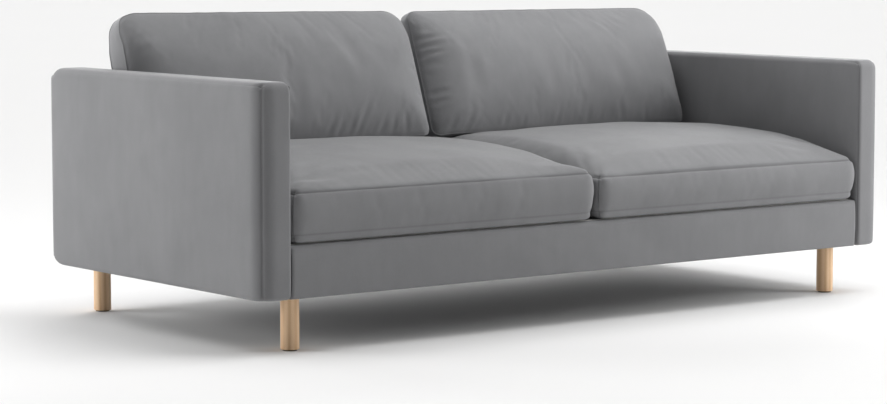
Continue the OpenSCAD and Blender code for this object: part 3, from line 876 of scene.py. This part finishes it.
# Folds of a seat cushion's top panel: the start's x and y, the end's x and y, half width and depth, in mm
SEAT_FOLDS = {
    "left": (
        (-925, -330, -850, -250, 13, 3.0), (-905, -380, -800, -280, 14, 3.4),
        (-880, -425, -760, -330, 14, 3.4), (-840, -450, -700, -380, 13, 3.0),
        (-760, -440, -640, -390, 14, 2.4), (-60, -380, -30, -250, 14, 2.2),
        (-150, -430, -60, -390, 13, 2.2)),
    "right": (
        (60, -430, 150, -370, 14, 2.6), (50, -370, 100, -280, 14, 2.4), (900, -420, 800, -340, 14, 2.8),
        (915, -360, 840, -260, 14, 2.4), (820, -445, 700, -400, 13, 2.4)),
}


def rest_level(y):
    """Height at which a back cushion rests on the seat cushions."""
    return BACK_REST_LEVEL - BACK_REST_FALL * max(0.0, y - BACK_REST_FRONT)


def quarter(distance, reach):
    """Rises from 0 to 1 over a reach, as a quarter round does."""
    t = max(0.0, min(1.0, distance / reach))
    return math.sqrt(1 - (1 - t) ** 2)


def seat_edge(side, low):
    """Level of the edge of a seat cushion's top panel, before it is crowned."""
    return low.z + SEAT_SEAM_RISE[side] + SEAT_EDGE_RISE


def seat_top(side, x, y, low, high):
    """Height of a filled seat cushion's top panel above its edge, at a place on the panel."""
    seam_z = low.z + SEAT_SEAM_RISE[side]
    k = (x - (low.x + high.x) / 2) / ((high.x - low.x) / 2)
    full = SEAT_TOP - smooth_between(SEAT_CROWN, y) - SEAT_END_DROP * abs(k) ** 2.2 - seam_z
    roll = (quarter(y - low.y, SEAT_ROLL["front"]) * quarter(high.y - y, SEAT_ROLL["rear"])
            * quarter(min(x - low.x, high.x - x), SEAT_ROLL["end"]))
    return max(full, SEAT_LEAST_CROWN) * roll


def seat_cushion(side, sign, sizes, finish):
    """One boxed seat cushion: crowned top, border between two seams, sides drawn in between the corners."""
    low, high = right_hand_box(f"{side}_seat_cover", sign)
    low.x += SEAT_SIDE_CLEAR
    high.x -= SEAT_SIDE_CLEAR
    low.y += SEAT_FRONT_CLEAR
    edge_z = seat_edge(side, low)
    seam_z = low.z + SEAT_LOW_SEAM
    bm, seam, square = start_piece(
        spaced(low.x, high.x, SEAT_STEP, SEAT_CUTS, SEAT_CUTS),
        spaced(low.y, high.y, SEAT_STEP, SEAT_CUTS, SEAT_CUTS),
        sorted({round(z, 6) for z in (
            low.z, low.z + 4 * MM, low.z + 9 * MM,
            *[seam_z + d for d in SEAT_SEAM_CUTS],
            *[seam_z + (edge_z - seam_z) * k / 9 for k in range(1, 8)],
            *[edge_z - d for d in SEAT_CUTS[:5]], edge_z)}))

    def rim(at):
        return max(0.0, min(at.x - low.x, high.x - at.x, at.y - low.y, high.y - at.y))

    def on_top(at):
        return edge_z - at.z < TOUCH

    def on_side(at):
        return rim(at) < TOUCH

    def top_seam(at):
        return rim(at) if on_top(at) else edge_z - at.z if on_side(at) else 1.0

    def low_seam(at):
        return abs(at.z - seam_z) if on_side(at) else 1.0

    # Painted shade along the top seam, and fainter along the low seam
    for v in bm.verts:
        v[seam] = max(bell(top_seam(v.co), SEAM_LINE), 0.6 * bell(low_seam(v.co), 2.0 * MM))
    first = (low.x, low.y, low.z)
    last = (high.x, high.y, edge_z)
    round_corners(bm, (0, 2), first, last, (SEAT_END_LOW_R, SEAT_END_TOP_R) * 2)
    round_corners(bm, (1, 2), first, last, (SEAT_LOW_R, SEAT_TOP_R) * 2)
    round_corners(bm, (0, 1), first, last, (SEAT_FRONT_R, SEAT_REAR_R) * 2)
    for v, at in zip(bm.verts, square):
        if on_top(at):
            v.co.z += seat_top(side, at.x, at.y, low, high)

    held = [
        max(bell(top_seam(at), 6 * MM), bell(low_seam(at), 6 * MM), 0.9 if at.z - low.z < TOUCH else 0.0)
        for at in square]
    fill(bm, sizes.seat_puff, sizes.fill_steps, SEAT_SLACK, held)

    amounts = []
    for at in square:
        border = max(0.0, 1 - ((at.z - (seam_z + edge_z) / 2) / ((edge_z - seam_z) / 2)) ** 2)
        nearer_end = high.x if at.x > 0.475 else low.x
        corner = bell(math.hypot(at.x - nearer_end, at.y - low.y), SEAT_CORNER_REACH)
        facing_front = 1.0 if at.y - low.y < TOUCH else 0.25
        swell = (SEAT_BORDER_SWELL * facing_front + SEAT_CORNER_SWELL * corner) * border * on_side(at)
        pucker = 1 + 0.5 * wave(at, 0.03, 20 + sign)
        drawn = (seam_profile(top_seam(at), sizes.seam_depth * 1.1 * pucker, sizes.seam_reach)
                 + seam_profile(low_seam(at), sizes.seam_depth * 0.6 * pucker, sizes.seam_reach))
        uneven = (SEAT_TOP_UNEVEN * wave(at, 0.13, 30 + sign) * on_top(at)
                  + SEAT_SIDE_UNEVEN * wave(at, 0.06, 32 + sign) * on_side(at))
        folded = fold_depth((at.x * sign, at.y), SEAT_FOLDS[side]) * on_top(at)
        amounts.append(swell + drawn + uneven - folded)
    push(bm, amounts)
    for v in bm.verts:
        if v.co.y > BACK_REST_FRONT - BACK_REST_EASE:
            v.co.z = min(v.co.z, rest_level(v.co.y) - BACK_REST_GAP)
        v.co.z = max(v.co.z, low.z)
        v.co.x = min(max(v.co.x, low.x - SEAT_SIDE_CLEAR), high.x + SEAT_SIDE_CLEAR)
        v.co.y = min(v.co.y, high.y)
    return piece(
        f"{side}_seat_cushion_padded", bm, finish, f"{side}_seat_cushion",
        (f"{side}_seat_cover", f"{side}_seat_foam"), mirrored=sign < 0)


class SOFA_OT_seat_cushions(bpy.types.Operator):
    """Build and fill both seat cushions"""

    bl_idname = "sofa.seat_cushions"
    bl_label = "Seat cushions"

    def execute(self, context):
        sizes, colours = user_values()
        for side, sign in SIDES:
            seat_cushion(side, sign, sizes, finish_of("upholstery", colours))
        return {"FINISHED"}


# ---------- back cushions ----------

BACK_LEAN = math.radians(18.5)
BACK_FOOT = Vector((0.0, 224 * MM, 432 * MM))
BACK_HEIGHT = 381 * MM
BACK_BORDER = 27 * MM
BACK_HALF = 88 * MM
BACK_SIDE_CLEAR = 1.5 * MM
BACK_TOP_R = 26 * MM
BACK_FOOT_R = 24 * MM
BACK_STEP = 9 * MM
BACK_CUTS = tuple(d * MM for d in (1.8, 4, 7, 11, 16, 22, 29))
# Shares of the full thickness: up the cushion, then from its middle to an end
BACK_UP_PROFILE = tuple((v * MM, t) for v, t in (
    (0, 0.46), (60, 0.81), (120, 0.98), (190, 1.0), (250, 0.89), (300, 0.72), (335, 0.54), (365, 0.34),
    (381, 0.20)))
BACK_ACROSS_PROFILE = (
    (0.0, 1.0), (0.55, 1.0), (0.72, 0.97), (0.82, 0.90), (0.91, 0.76), (0.97, 0.57), (1.0, 0.42))
# The right cushion's inner end rolls away behind the left cushion
BACK_ROLLED_PROFILE = (
    (0.0, 1.0), (0.5, 1.0), (0.66, 0.96), (0.78, 0.85), (0.88, 0.66), (0.95, 0.44), (1.0, 0.20))
BACK_EDGE_SHARE = 0.2
# How far the top edge drops at the outer end and at the inner end
BACK_TOP_DROP = {"left": (4 * MM, 13 * MM), "right": (18 * MM, 15 * MM)}
# Reach and fall of each shoulder
BACK_SHOULDER = {"left": (74 * MM, 46 * MM), "right": (84 * MM, 50 * MM)}
BACK_SHOULDER_IN = {"left": (70 * MM, 38 * MM), "right": (40 * MM, 4 * MM)}
# How far the ends are drawn in at the foot, and the further amount at the top; below 0 they reach out
BACK_OUTER_PULL = {"left": (0.0, 2 * MM), "right": (13 * MM, 19 * MM)}
BACK_INNER_PULL = {"left": (8 * MM, 15 * MM), "right": (0.0, -8 * MM)}
# How far an inner end may pass the side of its box
BACK_OVERHANG = {"left": BACK_SIDE_CLEAR, "right": 8 * MM}
BACK_SLACK = 0.003
BACK_UNEVEN = 2.2 * MM
BACK_FINE_UNEVEN = 0.8 * MM

# Folds of a back cushion's front panel, laid out as a seat's are, from the middle of the cushion's foot
BACK_FOLDS = {
    "left": (
        (-453, 292, -402, 323, 7, 3.0), (-430, 286, -386, 309, 7, 2.6), (-440, 262, -404, 268, 9, 2.0),
        (100, 2, 134, 72, 7, 2.6), (139, 2, 160, 58, 6, 2.6), (176, 2, 198, 68, 7, 3.2),
        (197, 2, 249, 104, 8, 4.4), (282, 2, 304, 64, 7, 3.0), (327, 2, 331, 62, 6, 3.0),
        (378, 2, 366, 74, 7, 3.0), (2, 26, 18, 220, 20, 2.4), (236, 178, 184, 350, 22, 2.8),
        (110, 250, 70, 350, 18, 1.4), (-180, 60, -190, 210, 26, 1.6), (-250, 30, -236, 120, 16, 1.8),
        (420, 120, 452, 120, 8, 2.0), (410, 190, 450, 196, 8, 2.0)),
    "right": (
        (-464, 286, -396, 292, 6, 4.6), (-466, 262, -372, 268, 6, 5.6), (-466, 236, -388, 254, 6, 6.4),
        (-456, 326, -424, 306, 7, 3.0), (-440, 336, -420, 318, 6, 2.6), (-456, 210, -410, 214, 8, 2.2),
        (-458, 120, -404, 128, 7, 3.0), (-462, 92, -416, 104, 6, 2.6), (-428, 2, -398, 56, 7, 3.6),
        (-378, 2, -340, 66, 8, 4.0), (-352, 2, -322, 46, 6, 2.6), (-242, 2, -220, 60, 7, 2.6),
        (-170, 2, -160, 44, 6, 2.0), (-48, 2, -30, 56, 7, 3.2), (74, 2, 76, 60, 7, 3.0),
        (120, 2, 124, 44, 6, 2.0), (208, 2, 194, 74, 8, 3.0), (300, 2, 292, 50, 6, 2.2),
        (162, 350, 226, 296, 8, 2.6), (190, 352, 248, 304, 8, 2.4), (222, 350, 286, 300, 8, 2.2),
        (-330, 96, -326, 262, 20, 2.8), (-54, 70, -64, 256, 22, 2.4), (232, 60, 160, 266, 24, 2.4),
        (90, 90, 60, 220, 20, 1.6)),
}


def back_outline(side, x, v, half):
    """Moves a place on a back cushion's outline: sloping shoulders, and ends drawn in towards the top."""
    outward = x / half
    outer, inner = BACK_TOP_DROP[side]
    drop = outer + (inner - outer) * (1 - outward) / 2
    reach, fall = BACK_SHOULDER[side] if x > 0 else BACK_SHOULDER_IN[side]
    past = (abs(x) - (half - reach)) / reach
    if past > 0:
        drop += fall * (1 - math.sqrt(max(0.0, 1 - min(past, 1.0) ** 2)))
    height = v / BACK_HEIGHT
    foot, top = BACK_OUTER_PULL[side] if x > 0 else BACK_INNER_PULL[side]
    pull = (foot + top * height ** 2) * abs(outward) ** 3
    return x - math.copysign(1.0, x) * pull, v * (1 - drop / BACK_HEIGHT)


def back_thickness(side, x, v, half):
    """Half the thickness of a back cushion at a place on its outline."""
    up = smooth_between(BACK_UP_PROFILE, v)
    rolled = side == "right" and x < 0
    across = smooth_between(BACK_ROLLED_PROFILE if rolled else BACK_ACROSS_PROFILE, abs(x) / half)
    return BACK_HALF * max(min(up, across, (up * across) ** 0.75 + 0.06), min(across, BACK_EDGE_SHARE))


def back_cushion(side, sign, sizes, finish):
    """One loose back cushion: full in the middle and low down, thin at its bordered ends and top."""
    low, high = right_hand_box(f"{side}_back_cushion_cover", sign)
    middle = (low.x + high.x) / 2
    half = (high.x - low.x) / 2 - BACK_SIDE_CLEAR
    bm, seam, square = start_piece(
        spaced(-half, half, BACK_STEP, BACK_CUTS, BACK_CUTS),
        spaced(-BACK_BORDER, BACK_BORDER, 6 * MM, BACK_CUTS[:3], BACK_CUTS[:3]),
        spaced(0.0, BACK_HEIGHT, BACK_STEP, BACK_CUTS, BACK_CUTS))

    def rim(at):
        return min(half - abs(at.x), at.z, BACK_HEIGHT - at.z)

    def on_panel(at):
        return abs(abs(at.y) - BACK_BORDER) < TOUCH

    def seam_distance(at):
        if on_panel(at):
            return max(rim(at), 0.0)
        return BACK_BORDER - abs(at.y) if rim(at) < TOUCH else 1.0

    # Painted shade along the seams round both panels
    for v in bm.verts:
        v[seam] = bell(seam_distance(v.co), 2.4 * MM)
    first = (-half, -BACK_BORDER, 0.0)
    last = (half, BACK_BORDER, BACK_HEIGHT)
    round_corners(bm, (0, 2), first, last, (BACK_FOOT_R, BACK_TOP_R) * 2)
    for v, at in zip(bm.verts, square):
        v.co.y = at.y / BACK_BORDER * back_thickness(side, v.co.x, v.co.z, half)
        v.co.x, v.co.z = back_outline(side, v.co.x, v.co.z, half)

    held = [max(bell(seam_distance(at), 7 * MM), 0.85 * bell(at.z, 20 * MM)) for at in square]
    fill(bm, sizes.back_puff, sizes.fill_steps, BACK_SLACK, held)

    amounts = []
    for at in square:
        pucker = 1 + 0.6 * wave(at, 0.028, 40 + sign)
        drawn = seam_profile(seam_distance(at), sizes.seam_depth * pucker, sizes.seam_reach)
        uneven = (BACK_UNEVEN * wave(at, 0.15, 50 + sign)
                  + BACK_FINE_UNEVEN * wave(at, 0.05, 52 + sign)) * on_panel(at)
        front = BACK_BORDER + at.y < TOUCH
        amounts.append(drawn + uneven - fold_depth((at.x * sign, at.z), BACK_FOLDS[side]) * front)
    push(bm, amounts)
    lean = Matrix.Translation(BACK_FOOT + Vector((middle, 0, 0))) @ Matrix.Rotation(-BACK_LEAN, 4, "X")
    bmesh.ops.transform(bm, matrix=lean, verts=bm.verts)
    seat_low, seat_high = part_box("right_seat_cover")
    for v in bm.verts:
        if v.co.z < SEAT_TOP + 10 * MM:
            rear_y = min(v.co.y, seat_high.y)
            seat_z = seat_edge(side, seat_low) + seat_top(side, v.co.x, rear_y, seat_low, seat_high)
            v.co.z = max(v.co.z, min(rest_level(v.co.y), seat_z + 1.5 * MM))
        v.co.x = min(max(v.co.x, low.x - BACK_OVERHANG[side]), high.x + BACK_SIDE_CLEAR)
    return piece(
        f"{side}_back_cushion_padded", bm, finish, f"{side}_back_cushion",
        (f"{side}_back_cushion_cover", f"{side}_back_filling"), mirrored=sign < 0)


class SOFA_OT_back_cushions(bpy.types.Operator):
    """Build and fill both back cushions"""

    bl_idname = "sofa.back_cushions"
    bl_label = "Back cushions"

    def execute(self, context):
        sizes, colours = user_values()
        for side, sign in SIDES:
            # The back cushions take the fabric with painted light, made paler all over
            back_cushion(side, sign, sizes, finish_of("back_cushion_fabric", colours))
        return {"FINISHED"}


# ---------- legs ----------

LEG_SIDES = 64
LEG_EDGE_STEPS = 4
LEG_CUTS = 8


class SOFA_OT_legs(bpy.types.Operator):
    """Build the four turned legs with eased ends"""

    bl_idname = "sofa.legs"
    bl_label = "Legs"

    def execute(self, context):
        sizes, colours = user_values()
        for name in ("front_left_leg", "front_right_leg", "rear_left_leg", "rear_right_leg"):
            low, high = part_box(name)
            radius = (high.x - low.x) / 2
            bm = bmesh.new()
            bmesh.ops.create_cone(
                bm, cap_ends=True, segments=LEG_SIDES, radius1=radius, radius2=radius,
                depth=high.z - low.z, matrix=Matrix.Translation((low + high) / 2))
            rims = [e for e in bm.edges if e.verts[0].co.z == e.verts[1].co.z]
            bmesh.ops.bevel(
                bm, geom=rims, offset=sizes.leg_round, segments=LEG_EDGE_STEPS, profile=0.5,
                affect="EDGES", material=-1)
            upright = [e for e in bm.edges if abs(e.verts[0].co.z - e.verts[1].co.z) > 20 * MM]
            bmesh.ops.subdivide_edges(bm, edges=upright, cuts=LEG_CUTS)
            leg = piece(
                f"{name}_turned", bm, finish_of("leg_wood", colours), "frame", (name,), levels=0)
            leg.data.polygons.foreach_set(
                "use_smooth", [abs(p.normal.z) < 0.99 for p in leg.data.polygons])
        return {"FINISHED"}


# ---------- the parts that show as they are ----------


class SOFA_OT_frame_finishes(bpy.types.Operator):
    """Give every part that is carried over its own finish"""

    bl_idname = "sofa.frame_finishes"
    bl_label = "Inner frame finishes"

    def execute(self, context):
        colours = user_values()[1]
        slots = {part["node"]: part["material_slot"] for part in frame["record"]["subparts"]}
        for name, obj in frame["nodes"].items():
            wanted = slots.get(name)
            if wanted not in MAKERS:
                raise RuntimeError(f"{name} has no finish for its slot {wanted}")
            finish = finish_of(wanted, colours)
            obj.data.materials.clear()
            obj.data.materials.append(finish)
        return {"FINISHED"}


# ---------- studio ----------


SUN_SOFTNESS = math.radians(35.0)
# Name, degrees round from the front towards the right, degrees up, strength
SUNS = (
    ("rim_light", 180.0, 12.0, 1.43),
    ("rim_top_light", 180.0, 58.0, 0.49),
    ("left_back_light", -135.0, 12.0, 0.82),
    ("left_top_light", -120.0, 62.0, 0.67),
    ("right_back_light", 135.0, 12.0, 2.23),
    ("right_top_light", 120.0, 62.0, 0.52),
    ("front_light", 45.0, 40.0, 0.26),
    ("front_top_light", 60.0, 62.0, 1.19),
)
# Name, place, aim, width and height, watts
SOFT_BOXES = (
    ("left_box", (-3.4, 1.9, 0.9), (-1.0, 0.1, 0.4), (1.6, 1.0), 48.0),
    ("right_low_box", (2.3, -1.9, 0.7), (0.6, -0.2, 0.4), (1.0, 1.0), 24.5),
    ("right_front_box", (2.6, -2.4, 1.8), (0.3, 0.0, 0.4), (1.2, 1.2), 15.9),
    ("right_seat_box", (0.6, -0.7, 1.7), (0.5, 0.3, 0.6), (0.8, 0.5), 6.8),
)
AIR_STRENGTH = 0.01
FLOOR_HALF = 120.0
CAMERA_PLACE = (-4.5648, -5.8183, 0.9806)
CAMERA_DIP = 0.0954
CAMERA_SWING = -0.6529
CAMERA_LENS = 110.9


def add_lamp(name, kind, power, place, back):
    """Adds a lamp at a place, shining away from the way that back points, and returns its settings."""
    lamp = bpy.data.lights.new(name, kind)
    lamp.energy = power
    obj = bpy.data.objects.new(name, lamp)
    obj.location = place
    obj.rotation_euler = back.to_track_quat("Z", "Y").to_euler()
    bpy.context.scene.collection.objects.link(obj)
    return lamp


class SOFA_OT_stage(bpy.types.Operator):
    """Build the pale floor, the soft lights and the camera"""

    bl_idname = "sofa.stage"
    bl_label = "Studio"

    def execute(self, context):
        colours = user_values()[1]
        scene = context.scene
        scene.view_settings.view_transform = "Standard"
        scene.view_settings.look = "None"

        bm = bmesh.new()
        bmesh.ops.create_grid(bm, x_segments=8, y_segments=8, size=FLOOR_HALF)
        mesh = bpy.data.meshes.new("floor")
        bm.to_mesh(mesh)
        bm.free()
        floor = bpy.data.objects.new("floor", mesh)
        scene.collection.objects.link(floor)
        f = Finish("studio_floor")
        cloud = f.noise(0.4, 2.0, 0.5)
        tone = f.blend(cloud, colours.floor, shade(colours.floor, 0.99))
        floor.data.materials.append(f.done(tone, 0.9, None, specular=0.0))

        world = bpy.data.worlds.new("studio_air")
        world.use_nodes = True
        sky = world.node_tree.nodes["Background"]
        sky.inputs["Color"].default_value = (1.0, 1.0, 1.0, 1.0)
        sky.inputs["Strength"].default_value = AIR_STRENGTH
        scene.world = world

        for name, azimuth, elevation, power in SUNS:
            turn = math.radians(azimuth)
            rise = math.radians(elevation)
            back = Vector((
                math.sin(turn) * math.cos(rise), -math.cos(turn) * math.cos(rise), math.sin(rise)))
            add_lamp(name, "SUN", power, (0.0, 0.0, 0.0), back).angle = SUN_SOFTNESS
        for name, place, aim, size, power in SOFT_BOXES:
            lamp = add_lamp(name, "AREA", power, place, Vector(place) - Vector(aim))
            lamp.shape = "RECTANGLE"
            lamp.size, lamp.size_y = size

        lens = bpy.data.cameras.new("camera")
        lens.sensor_width = 36.0
        lens.lens = CAMERA_LENS
        lens.clip_end = 500.0
        camera = bpy.data.objects.new("camera", lens)
        camera.location = CAMERA_PLACE
        camera.rotation_euler = (math.radians(90.0) - CAMERA_DIP, 0.0, CAMERA_SWING)
        scene.collection.objects.link(camera)
        scene.camera = camera
        return {"FINISHED"}


# ---------- panel and order of work ----------

STEPS = (
    SOFA_OT_stage, SOFA_OT_arms, SOFA_OT_front_rail, SOFA_OT_back_rest, SOFA_OT_seat_cushions,
    SOFA_OT_back_cushions, SOFA_OT_legs, SOFA_OT_frame_finishes)


class SOFA_PT_panel(bpy.types.Panel):
    """Sizes, colours and building steps of the sofa"""

    bl_label = "Sofa"
    bl_idname = "SOFA_PT_panel"
    bl_space_type = "VIEW_3D"
    bl_region_type = "UI"
    bl_category = "Sofa"

    def draw(self, context):
        for step in STEPS:
            self.layout.operator(step.bl_idname)
        for group in (context.scene.sofa_sizes, context.scene.sofa_colours):
            box = self.layout.box()
            for name in group.__annotations__:
                box.prop(group, name)


CLASSES = (SofaSizes, SofaColours, *STEPS, SOFA_PT_panel)


def register():
    """Makes the settings, the operators and the panel known to Blender."""
    for cls in CLASSES:
        bpy.utils.register_class(cls)
    bpy.types.Scene.sofa_sizes = PointerProperty(type=SofaSizes)
    bpy.types.Scene.sofa_colours = PointerProperty(type=SofaColours)


def unregister():
    """Takes the settings, the operators and the panel away again."""
    del bpy.types.Scene.sofa_sizes
    del bpy.types.Scene.sofa_colours
    for cls in reversed(CLASSES):
        bpy.utils.unregister_class(cls)


def main():
    """Builds the whole sofa."""
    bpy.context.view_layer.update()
    register()
    bpy.ops.sofa.stage()
    bpy.ops.sofa.arms()
    bpy.ops.sofa.front_rail()
    bpy.ops.sofa.back_rest()
    bpy.ops.sofa.seat_cushions()
    bpy.ops.sofa.back_cushions()
    bpy.ops.sofa.legs()
    bpy.ops.sofa.frame_finishes()


if __name__ == "__main__":
    main()
